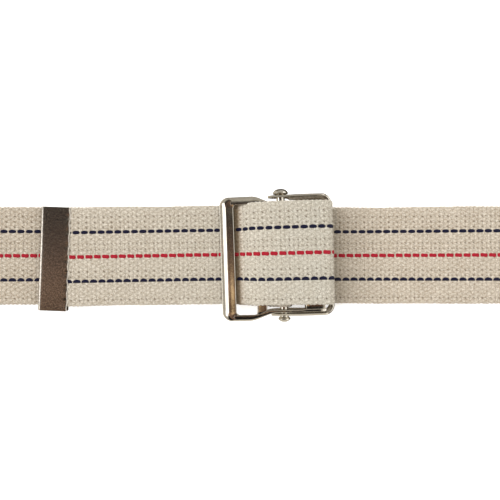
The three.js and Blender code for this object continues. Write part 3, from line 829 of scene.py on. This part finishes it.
def section(outer, inner, z0, z1, radii, facet=0.0, steps=4):
    """A rounded rectangle between two points of the plan. Radii: (sideways, upwards) of the corners bottom
    outer, bottom inner, top inner and top outer. With facet 1 the top outer corner is a broad chamfer."""
    outer, inner = np.array(outer, float), np.array(inner, float)
    width = np.linalg.norm(inner - outer)
    aim = (inner - outer) / width
    tall = z1 - z0
    corners = ((0, 0, 1, 1), (1, 0, -1, 1), (1, 1, -1, -1), (0, 1, 1, -1))
    starts = (180, 270, 0, 90)
    ring = []
    for (a, b, da, db), start, (ra, rb) in zip(corners, starts, radii):
        ra, rb = min(ra, width * 0.8), min(rb, tall * 0.49)
        ca, cb = a * width + da * ra, b * tall + db * rb
        for i in range(steps):
            t = math.radians(start + 90 * i / (steps - 1))
            along, up = ca + ra * math.cos(t), cb + rb * math.sin(t)
            if start == 90:
                along += facet * (BAR_FACET[i][0] - along)
                up += facet * (tall + BAR_FACET[i][1] - up)
            spot = outer + aim * along
            ring.append((spot[0], spot[1], z0 + up))
    return ring


def ease(x, x0, x1, y0, y1):
    """From y0 at x0 smoothly to y1 at x1."""
    t = min(max((x - x0) / (x1 - x0), 0.0), 1.0)
    return y0 + (y1 - y0) * t * t * (3 - 2 * t)


BAR_FACET = ((4.0, 0.0), (3.4, -0.18), (1.55, -1.15), (0.05, -2.75))  # from the outer edge and from the top
FRONT_X = (-31.9, -24.6)
MIDDLE_X, MIDDLE_Z = (-14.0, -8.8), (-1.25, 2.0)
MIDDLE_REACH = 28.9
JAW_X, JAW_Z = (10.3, 21.2), (-1.4, 5.2)
FAR_HALF = 31.6
NEAR_HALF = 32.0
RAIL_INSIDE = 29.0
FAR_RAIL_INSIDE = 27.6
EAR_HALF = 27.9
EAR_THICK = 1.7
RING_BOTTOM = -2.8  # at the front bar's outer edge, from the pivot
RING_RISE = 0.089
RING_TALL = 3.0
CORNER_R = 4.8
WINDOW_R = 1.9
BAR_STRAIGHT = 25.2


def ring_bottom(x):
    return RING_BOTTOM + (x - FRONT_X[0]) * RING_RISE


def arm_heights(x):
    """Bottom and top of the lever's rail and ear."""
    bottom = ring_bottom(x)
    top = bottom + RING_TALL
    ear_bottom = np.interp(x, (-9, -6, -3, 0, 3, 6, 10.3), (-1.0, -2.9, -3.9, -4.2, -4.0, -3.1, -1.5))
    ear_top = np.interp(x, (-9, -6, -3, 0, 3, 6, 10.3, 19, 21.2), (2.2, 3.3, 4, 4.2, 4.3, 4.7, 5.2, 5.1, 4))
    w = ease(x, -15.0, -6.5, 0.0, 1.0)
    return bottom * (1 - w) + ear_bottom * w, top * (1 - w) + ear_top * w


RAIL_RADII = ((0.6, 0.6), (0.6, 0.6), (0.14, 0.14), (1.9, 1.1))
JAW_END_RADII = ((0.6, 0.7), (0.6, 0.7), (0.3, 0.3), (1.4, 0.5))
EAR_RADII = ((0.6, 0.7),) * 4
BAR_RADII = ((0.8, 0.7), (0.7, 0.6), (0.5, 0.25), (3.0, 1.4))
SIDES = (  # sign, rail's outer and inner face, and where the outer face tapers in to the ear
    (1, FAR_HALF, FAR_RAIL_INSIDE, (-15.0, -4.0)),
    (-1, NEAR_HALF, RAIL_INSIDE, (-18.0, -3.8)),
)
CORNER_STEPS = 8


def mixed_radii(a, b, w):
    """The radii a share w of the way from a to b."""
    return [tuple(p * (1 - w) + q * w for p, q in zip(x, y)) for x, y in zip(a, b)]


def arm_sections(side, outside, inside, taper):
    """Along an ear and its rail, from the jaw to the front corner."""
    rings = []
    corner_from = FRONT_X[0] + CORNER_R + 0.6
    for x in list(np.linspace(JAW_X[1], -8, 22)) + list(np.linspace(-9.5, corner_from, 14)):
        outer = ease(x, *taper, outside, EAR_HALF)
        inner = ease(x, -15.5, -7.2, inside, EAR_HALF - EAR_THICK)
        radii = mixed_radii(RAIL_RADII, EAR_RADII, ease(x, -16.0, -8.0, 0.0, 1.0))
        radii = mixed_radii(radii, JAW_END_RADII, ease(x, 8.0, 11.5, 0.0, 1.0))
        rings.append(section((x, side * outer), (x, side * inner), *arm_heights(x), radii))
    return rings


def corner_point(x, y, radius, side, t):
    """On the quarter circle that touches the lines x and side * y."""
    return x + radius * (1 + math.cos(t)), side * (y - radius * (1 - math.sin(t)))


def corner_sections(side, outside, inside):
    """Round a front corner, from the rail's section to the front bar's."""
    rings = []
    for i in range(CORNER_STEPS + 1):
        w = i / CORNER_STEPS
        t = math.radians(90 + 90 * w)
        outer = corner_point(FRONT_X[0], outside, CORNER_R, side, t)
        inner = corner_point(FRONT_X[1], inside, WINDOW_R, side, t)
        z0 = ring_bottom((outer[0] + inner[0]) / 2)
        radii = mixed_radii(RAIL_RADII, BAR_RADII, w)
        rings.append(section(outer, inner, z0, z0 + RING_TALL, radii, w**1.5))
    return rings


def half_bar_sections(side):
    """Along the front bar, from a corner to the middle."""
    z0 = ring_bottom(sum(FRONT_X) / 2)
    rings = []
    for y in np.linspace(BAR_STRAIGHT, 0, 9):
        outer, inner = ((x, side * y) for x in FRONT_X)
        rings.append(section(outer, inner, z0, z0 + RING_TALL, BAR_RADII, 1.0))
    return rings


def lever_frame():
    """Ears, rails and front bar as one swept bar, from one ear's end to the other's."""
    halves = []
    for side, outside, inside, taper in SIDES:
        half = arm_sections(side, outside, inside, taper) + corner_sections(side, outside, inside)
        halves.append(half + half_bar_sections(side))
    return loft("lever_frame", halves[0] + halves[1][-2::-1], NICKEL, 2, lever_place)


def middle_bar():
    """The bar that the webbing crosses before it dips. It flares where it meets the rails."""
    rings = []
    radii = ((0.9, 0.8), (0.8, 0.8), (0.5, 0.5), (0.8, 0.6))
    for y in np.linspace(-MIDDLE_REACH, MIDDLE_REACH, 35):
        into = max(0.0, abs(y) - (RAIL_INSIDE - 1.4))
        flare = WINDOW_R - math.sqrt(max(0.0, WINDOW_R**2 - min(into, WINDOW_R) ** 2))
        rings.append(section((MIDDLE_X[0] - flare, y), (MIDDLE_X[1], y), *MIDDLE_Z, radii))
    return loft("middle_bar", rings, NICKEL, 2, lever_place)


def jaw_block():
    reach = EAR_HALF - EAR_THICK / 2
    radii = ((1.0, 1.0), (2.2, 1.6), (0.7, 0.6), (0.9, 0.7))
    places = np.linspace(-reach, reach, 30)
    rings = [section((JAW_X[0], y), (JAW_X[1] - 0.8, y), *JAW_Z, radii) for y in places]
    return loft("jaw_block", rings, NICKEL, 1, lever_place)


JAW_TEETH = 12


def jaw_tooth(i):
    """A blunt wedge on the jaw's right face."""
    pitch = 2 * WEB_HALF / JAW_TEETH
    y = -WEB_HALF + (i + 0.5) * pitch
    rings = []
    for t in np.linspace(0, 1, 6):
        wide = pitch * 0.42 * (1 - t) + 0.18
        x = JAW_X[1] - 2.6 + t * 2.85
        low, high = 1.7 - 0.4 * (1 - t), 2.8 + 0.3 * (1 - t)
        rings.append([(x, y - wide, low), (x, y + wide, low), (x, y + wide, high), (x, y - wide, high)])
    return loft(f"tooth_{i}", rings, NICKEL, 1, lever_place)


def build_lever():
    teeth = [jaw_tooth(i) for i in range(JAW_TEETH)]
    lever = joined("lever_casting", [lever_frame(), middle_bar(), jaw_block()] + teeth)
    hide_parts("lever")
    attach(lever, "lever")


STIRRUP_HALF = 30.7
STIRRUP_THICK = 1.4
STIRRUP_BACK = 25.6
STIRRUP_R = 5.0
EAR_NOSE = 6.8  # from the pin to the ear's rounded end
CORNER_CUTS = 9


def stirrup_heights(x):
    """Bottom and top of the strap, x from the pivot."""
    if x < 0:
        reach = 3.9 * math.sqrt(max(0.0, 1 - (x / EAR_NOSE) ** 2)) + 0.05
        return -reach, reach
    bottom = np.interp(x, (0, 3, 6, 10.3, 16, 20.6), (-3.9, -4.1, -4.8, -6.2, -7.3, -7.9))
    places = (0, 2, 4, 7, 10.3, 19, 21.5, 23.4, 25.6)
    return bottom, np.interp(x, places, (3.9, 4, 4.4, 5.1, 5.35, 5.35, 4.7, 3.3, 2.2))


def stirrup_radii(y):
    """The near arm's upper edge is worn rounder than the far one's."""
    return (0.4, 0.45), (0.4, 0.45), (0.3, 0.4), (1.25, np.interp(y, (-25, -15), (1.9, 1.25)))


def stirrup_half():
    """The strap's outer and inner face from above, from the far ear's end to the back wall's middle."""
    half = []
    ends = [-EAR_NOSE * math.cos(t) for t in np.linspace(0.06, math.pi / 2, 9)]
    for x in ends + list(np.linspace(1.0, STIRRUP_BACK - STIRRUP_R, 18)):
        half.append(((x, STIRRUP_HALF), (x, STIRRUP_HALF - STIRRUP_THICK)))
    for i in range(1, CORNER_CUTS):
        t = math.radians(90 - 90 * i / CORNER_CUTS)
        centre = (STIRRUP_BACK - STIRRUP_R, STIRRUP_HALF - STIRRUP_R)
        faces = (STIRRUP_R, STIRRUP_R - STIRRUP_THICK)
        half.append(tuple((centre[0] + r * math.cos(t), centre[1] + r * math.sin(t)) for r in faces))
    for y in np.linspace(STIRRUP_HALF - STIRRUP_R, 0, 8):
        half.append(((STIRRUP_BACK, y), (STIRRUP_BACK - STIRRUP_THICK, y)))
    return half


def stirrup_place(points):
    """The far arm leans in a little towards its foot."""
    p = np.array(points, float)
    p[:, 1] -= 0.09 * np.clip((p[:, 1] - 22) / 6, 0, 1) * np.clip(3.9 - p[:, 2], 0, None) * (p[:, 0] > 4)
    return at_pivot(p)


def build_stirrup():
    far = stirrup_half()
    near = [tuple((x, -y) for x, y in faces) for faces in far[-2::-1]]
    rings = []
    for outer, inner in far + near:
        z0, z1 = stirrup_heights(max(outer[0], inner[0]))
        rings.append(section(outer, inner, z0, z1, stirrup_radii(outer[1])))
    stirrup = loft("stirrup_strap", rings, NICKEL, 2, stirrup_place)
    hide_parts("stirrup")
    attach(stirrup, "root")


RIVET_X = -0.25
RIVET_AROUND = 28


def build_rivet():
    """A domed and dimpled head at the far end, rolled over at the near end."""
    far = STIRRUP_HALF + 0.05
    near = -far
    profile = [
        (0.35, near - 2.9), (0.6, near - 3.2), (1.3, near - 3.1), (2.2, near - 2.65), (3.0, near - 2.0),
        (3.15, near - 1.5), (2.9, near - 1.1), (2.3, near - 0.7), (2.2, near), (2.15, near + 0.2),
        (2.15, near + 8), (2.15, 0), (2.15, far - 8), (2.15, far - 0.2), (2.2, far + 0.4),
        (3.8, far + 0.5), (4.0, far + 0.7), (3.95, far + 1.1), (3.65, far + 1.8), (3.0, far + 2.5),
        (2.1, far + 2.95), (1.2, far + 3.1), (0.7, far + 3.1), (0.4, far + 2.9), (0.1, far + 2.75),
    ]
    rings = []
    turn = [2 * math.pi * i / RIVET_AROUND for i in range(RIVET_AROUND)]
    for r, y in profile:
        rings.append([(RIVET_X + r * math.cos(a), y, -r * math.sin(a)) for a in turn])
    rivet = loft("rivet_pin", rings, NICKEL, 1, at_pivot)
    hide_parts("pivot_rivet")
    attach(rivet, "root")


TIP_LONG = 15.8
TIP_HALF = 26.9
TIP_INSIDE = 1.06
TIP_SHEET = 0.45
TIP_TEETH = 7
TIP_BITE = 0.42  # how far the teeth are pressed in
TIP_FOLD_STEPS = 10
TIP_INNER_STEPS = 8
TIP_SWING = math.radians(-3.1)
TIP_Y = -0.3


def tip_face(right, bite, crown):
    """The upper face's outline from its toothed right edge to the fold."""
    outside = TIP_INSIDE + TIP_SHEET
    return [
        (right, TIP_INSIDE + 0.02 - bite), (right + 0.04, outside - 0.34 - bite),
        (right - 0.24, outside - 0.04 - bite), (right - 0.55, outside + 0.10 - bite * 0.8),
        (right - 1.1, outside + 0.08 - bite * 0.2), (right - 2.5, outside + crown),
        (7.0, outside + crown), (3.4, outside + crown), (2.0, outside + crown * 0.6),
    ]


def tip_arc(radius, start, turn, steps):
    """Part of the fold, without its two ends."""
    middle = TIP_INSIDE + TIP_SHEET
    angles = [math.radians(start + turn * i / steps) for i in range(1, steps)]
    return [(middle + radius * math.cos(a), radius * math.sin(a)) for a in angles]


def mirrored(line):
    return [(x, -z) for x, z in line[::-1]]


def tip_ring(y):
    """The folded sheet's section at one place across the belt."""
    pitch = 2 * WEB_HALF / TIP_TEETH
    tooth = math.cos(2 * math.pi * (y + WEB_HALF) / pitch + math.pi)
    bite = TIP_BITE * max(0.0, tooth)
    ragged = 0.26 * tooth + 0.07 * math.sin(y * 1.9) + 0.05 * math.sin(y * 4.3 + 1)
    end_round = max(0.0, abs(y) - (TIP_HALF - 1.0))
    right = TIP_LONG - 0.3 + ragged - 0.3 * end_round**2
    upper = tip_face(right, bite, 0.10 * (1 - (y / TIP_HALF) ** 2))
    fold = tip_arc(TIP_INSIDE + TIP_SHEET, 90, 180, TIP_FOLD_STEPS)
    inner_fold = tip_arc(TIP_INSIDE, 270, -180, TIP_INNER_STEPS)
    inside = [(x, TIP_INSIDE) for x in (2.2, 7.0, right - 2.0)] + [(right - 0.8, TIP_INSIDE - bite)]
    outline = upper + fold + mirrored(upper) + mirrored(inside) + inner_fold + inside
    return [(x, y, z) for x, z in outline]


def tip_place(points):
    """The tip sits slightly crooked on the tail."""
    p = np.asarray(points, float)
    x = p[:, 0] * math.cos(TIP_SWING) - p[:, 1] * math.sin(TIP_SWING)
    y = p[:, 0] * math.sin(TIP_SWING) + p[:, 1] * math.cos(TIP_SWING) + TIP_Y
    return turned(np.column_stack([x + TIP_LEFT_X, y, p[:, 2] + TAIL_Z]), TAIL)


def build_tip():
    stations = [-TIP_HALF, -TIP_HALF + 0.12] + list(np.linspace(-TIP_HALF + 0.5, TIP_HALF - 0.5, 92))
    stations += [TIP_HALF - 0.12, TIP_HALF]
    rings = np.array([tip_ring(y) for y in stations])
    count, around, _ = rings.shape
    faces = skin(count, around)[:, [1, 0, 3, 2]].tolist()
    faces.append(list(range(around)))
    faces.append([(count - 1) * around + j for j in reversed(range(around))])
    tip = new_mesh("tip_sheet", to_world(tip_place(rings.reshape(-1, 3))), faces, [TIP_METAL])
    bevel = tip.modifiers.new("Edges", "BEVEL")
    bevel.width = 0.00008
    bevel.segments = 2
    bevel.limit_method = "ANGLE"
    bevel.angle_limit = math.radians(50)
    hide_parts("strap_tip")
    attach(tip, "tail")


build_lever()
build_stirrup()
build_rivet()
build_tip()

# ---- Stitching of the fixed end ----

STITCH_ROWS = (-14, -18, -68, -72)
STITCH_FROM = -20.6
STITCH_COUNT = 13
STITCH_PITCH = 3.2
STITCH_HALF = 1.5
STITCH_FACES = ((FIXED_Z + 1.02, 1), (FOLD_BACK_Z - 1.02, -1))  # height, and which way the stitch bulges


def stitch(name, x, y, z, sign):
    """One stitch: a bead that dives into the webbing at both ends."""
    rings = []
    turn = [2 * math.pi * k / 8 for k in range(8)]
    for t in np.linspace(0.05, math.pi - 0.05, 9):
        r = math.sin(t) ** 0.6
        middle = z + sign * (0.26 * r - 0.18)
        along = y - STITCH_HALF * math.cos(t)
        rings.append([(x + 0.32 * r * math.cos(a), along, middle - 0.24 * r * math.sin(a)) for a in turn])
    return loft(name, rings, THREAD, 0)


def build_stitches():
    for number, x in enumerate(STITCH_ROWS, 1):
        node = f"stitch_row_{number}"
        stitches = []
        for i in range(STITCH_COUNT):
            y = STITCH_FROM + (i + 0.5) * STITCH_PITCH
            for z, sign in STITCH_FACES:
                stitches.append(stitch(f"{node}_{i}_{sign}", x, y, z, sign))
        row = joined(f"{node}_thread", stitches)
        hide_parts(node)
        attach(row, "root")


build_stitches()

# ---- Floor, light and camera ----

FLOOR_HALF = 3
FLOOR_Z = -0.0004


def build_floor():
    """White paper with some light of its own, which the metal doesn't mirror."""
    h = FLOOR_HALF
    n = Material("floor_paper")
    speck = n.noise(n.place("Object"), 60.0, 2.0)
    n.set(Base_Color=n.mix(speck, (0.93, 0.93, 0.93, 1), (0.95, 0.95, 0.95, 1)))
    n.set(Roughness=0.85, Specular_IOR_Level=0.1, Emission_Color=(1, 1, 1, 1), Emission_Strength=0.45)
    floor = new_mesh("floor", [(-h, -h, 0), (h, -h, 0), (h, h, 0), (-h, h, 0)], [(0, 1, 2, 3)], [n.material])
    floor.location.z = FLOOR_Z
    floor.visible_glossy = False


# The studio that the metal mirrors. Below, x, y and z are a direction's parts: to the right, far side and up.
LAMP_WHITE = (3.0, 3.0, 2.95, 1)
RIGHT_WHITE = (1.5, 1.48, 1.42, 1)
NEAR_CREAM = (0.82, 0.77, 0.67, 1)
WALL_NEAR, WALL_FAR = (0.66, 0.62, 0.55, 1), (0.50, 0.475, 0.42, 1)
WALL_FOOT_LEFT, WALL_FOOT_RIGHT = (0.46, 0.435, 0.39, 1), (0.85, 0.84, 0.81, 1)
CLOTH_FAR = (0.034, 0.030, 0.026, 1)
CLOTH_BROWN, CLOTH_BROWN_LEFT = (0.150, 0.092, 0.070, 1), (0.205, 0.142, 0.115, 1)
CLOTH_COPPER, CLOTH_COPPER_LEFT = (0.36, 0.20, 0.125, 1), (0.86, 0.56, 0.38, 1)
CLOTH_GOLD = (2.4, 1.75, 0.98, 1)
CLOTH_NEAR = (0.018, 0.015, 0.013, 1)
GOLD_X = -0.055
GOLD_SHARP = 24.0
TABLE_UNDER, TABLE_ROUND = (0.10, 0.080, 0.055, 1), (0.76, 0.71, 0.60, 1)


def studio_walls(n, x, y, z):
    """Grey all round, with a lamp high at the left, white at the right and cream at the near side."""
    lamp = n.product(n.step(x, -0.70, -0.78), n.step(z, 0.20, 0.34))
    lamp = n.product(lamp, n.step(y, 0.17, 0.11), n.step(y, -0.25, -0.16))
    return n.layered(n.mix(n.remap(y, -0.4, 0.5), WALL_NEAR, WALL_FAR), (
        (n.remap(z, 0.40, 0.20), n.mix(n.remap(x, -0.5, 0.3), WALL_FOOT_LEFT, WALL_FOOT_RIGHT)),
        (n.remap(y, -0.68, -0.80), NEAR_CREAM),
        (lamp, LAMP_WHITE),
        (n.step(x, 0.50, 0.62), RIGHT_WHITE),
    ))


def studio_cloth(n, x, y):
    """Dark cloth from far to near: black, brown, copper with a golden stripe, and black again."""
    left = n.remap(x, -0.20, -0.35)
    stripe = n.bell(n.product(n.math("SUBTRACT", x, GOLD_X), GOLD_SHARP))
    brown = n.mix(left, CLOTH_BROWN, CLOTH_BROWN_LEFT)
    copper = n.mix(left, CLOTH_COPPER, CLOTH_COPPER_LEFT)
    return n.layered(CLOTH_FAR, (
        (n.step(y, 0.08, -0.03), brown),
        (n.step(y, -0.05, -0.12), n.mix(stripe, copper, CLOTH_GOLD)),
        (n.step(y, -0.120, -0.138), CLOTH_NEAR),
    ))


def cloth_extent(n, x, y, z):
    """1 where the dark cloth hangs over the object."""
    left = n.math("MAXIMUM", n.step(x, -0.74, -0.68), n.remap(y, -0.40, -0.50))
    slanted = n.math("ADD", y, n.remap(x, -0.20, -0.35, 0.0, -0.10))
    far, near = n.step(slanted, 0.175, 0.13), n.step(y, -0.83, -0.75)
    return n.product(left, n.step(x, 0.36, 0.24), far, near, n.remap(z, 0.36, 0.44))


def build_world():
    """A bright studio with dark cloth right over the object, as a camera's own rig makes."""
    world = bpy.data.worlds.new("studio")
    bpy.context.scene.world = world
    world.use_nodes = True
    n = Nodes(world.node_tree)
    x, y, z = n.split(n.place("Generated"))
    above = n.mix(cloth_extent(n, x, y, z), studio_walls(n, x, y, z), studio_cloth(n, x, y))
    outward = n.math("MAXIMUM", n.remap(y, -0.35, -0.6), n.remap(x, -0.35, -0.6))
    table = n.mix(outward, TABLE_UNDER, TABLE_ROUND)
    background = n.tree.nodes["Background"]
    n.put(background.inputs["Color"], n.mix(n.step(z, 0.10, -0.10), above, table))
    background.inputs["Strength"].default_value = 1.0


SUN_AIM = (0.80, -0.25, -1.0)
SUN_STRENGTH = 3.08
SUN_ANGLE = 0.95
CAMERA_AT = (0, BELT_Y + 0.002615, 0.2338)
LENS, SENSOR = 30.97, 36


def build_key_light():
    """A wide soft light from above the left, which the metal doesn't mirror."""
    light = bpy.data.lights.new("key", "SUN")
    light.energy = SUN_STRENGTH
    light.angle = SUN_ANGLE
    holder = add_to_scene("key", light)
    holder.rotation_euler = Vector(SUN_AIM).to_track_quat("-Z", "Y").to_euler()
    holder.visible_glossy = False


def build_camera():
    """Straight above the buckle's left part, looking down."""
    camera = bpy.data.cameras.new("camera")
    camera.lens, camera.sensor_width = LENS, SENSOR
    camera.clip_start = 0.01
    holder = add_to_scene("camera", camera)
    holder.location = CAMERA_AT
    bpy.context.scene.camera = holder
    bpy.context.scene.view_settings.view_transform = "Standard"


build_floor()
build_world()
build_key_light()
build_camera()
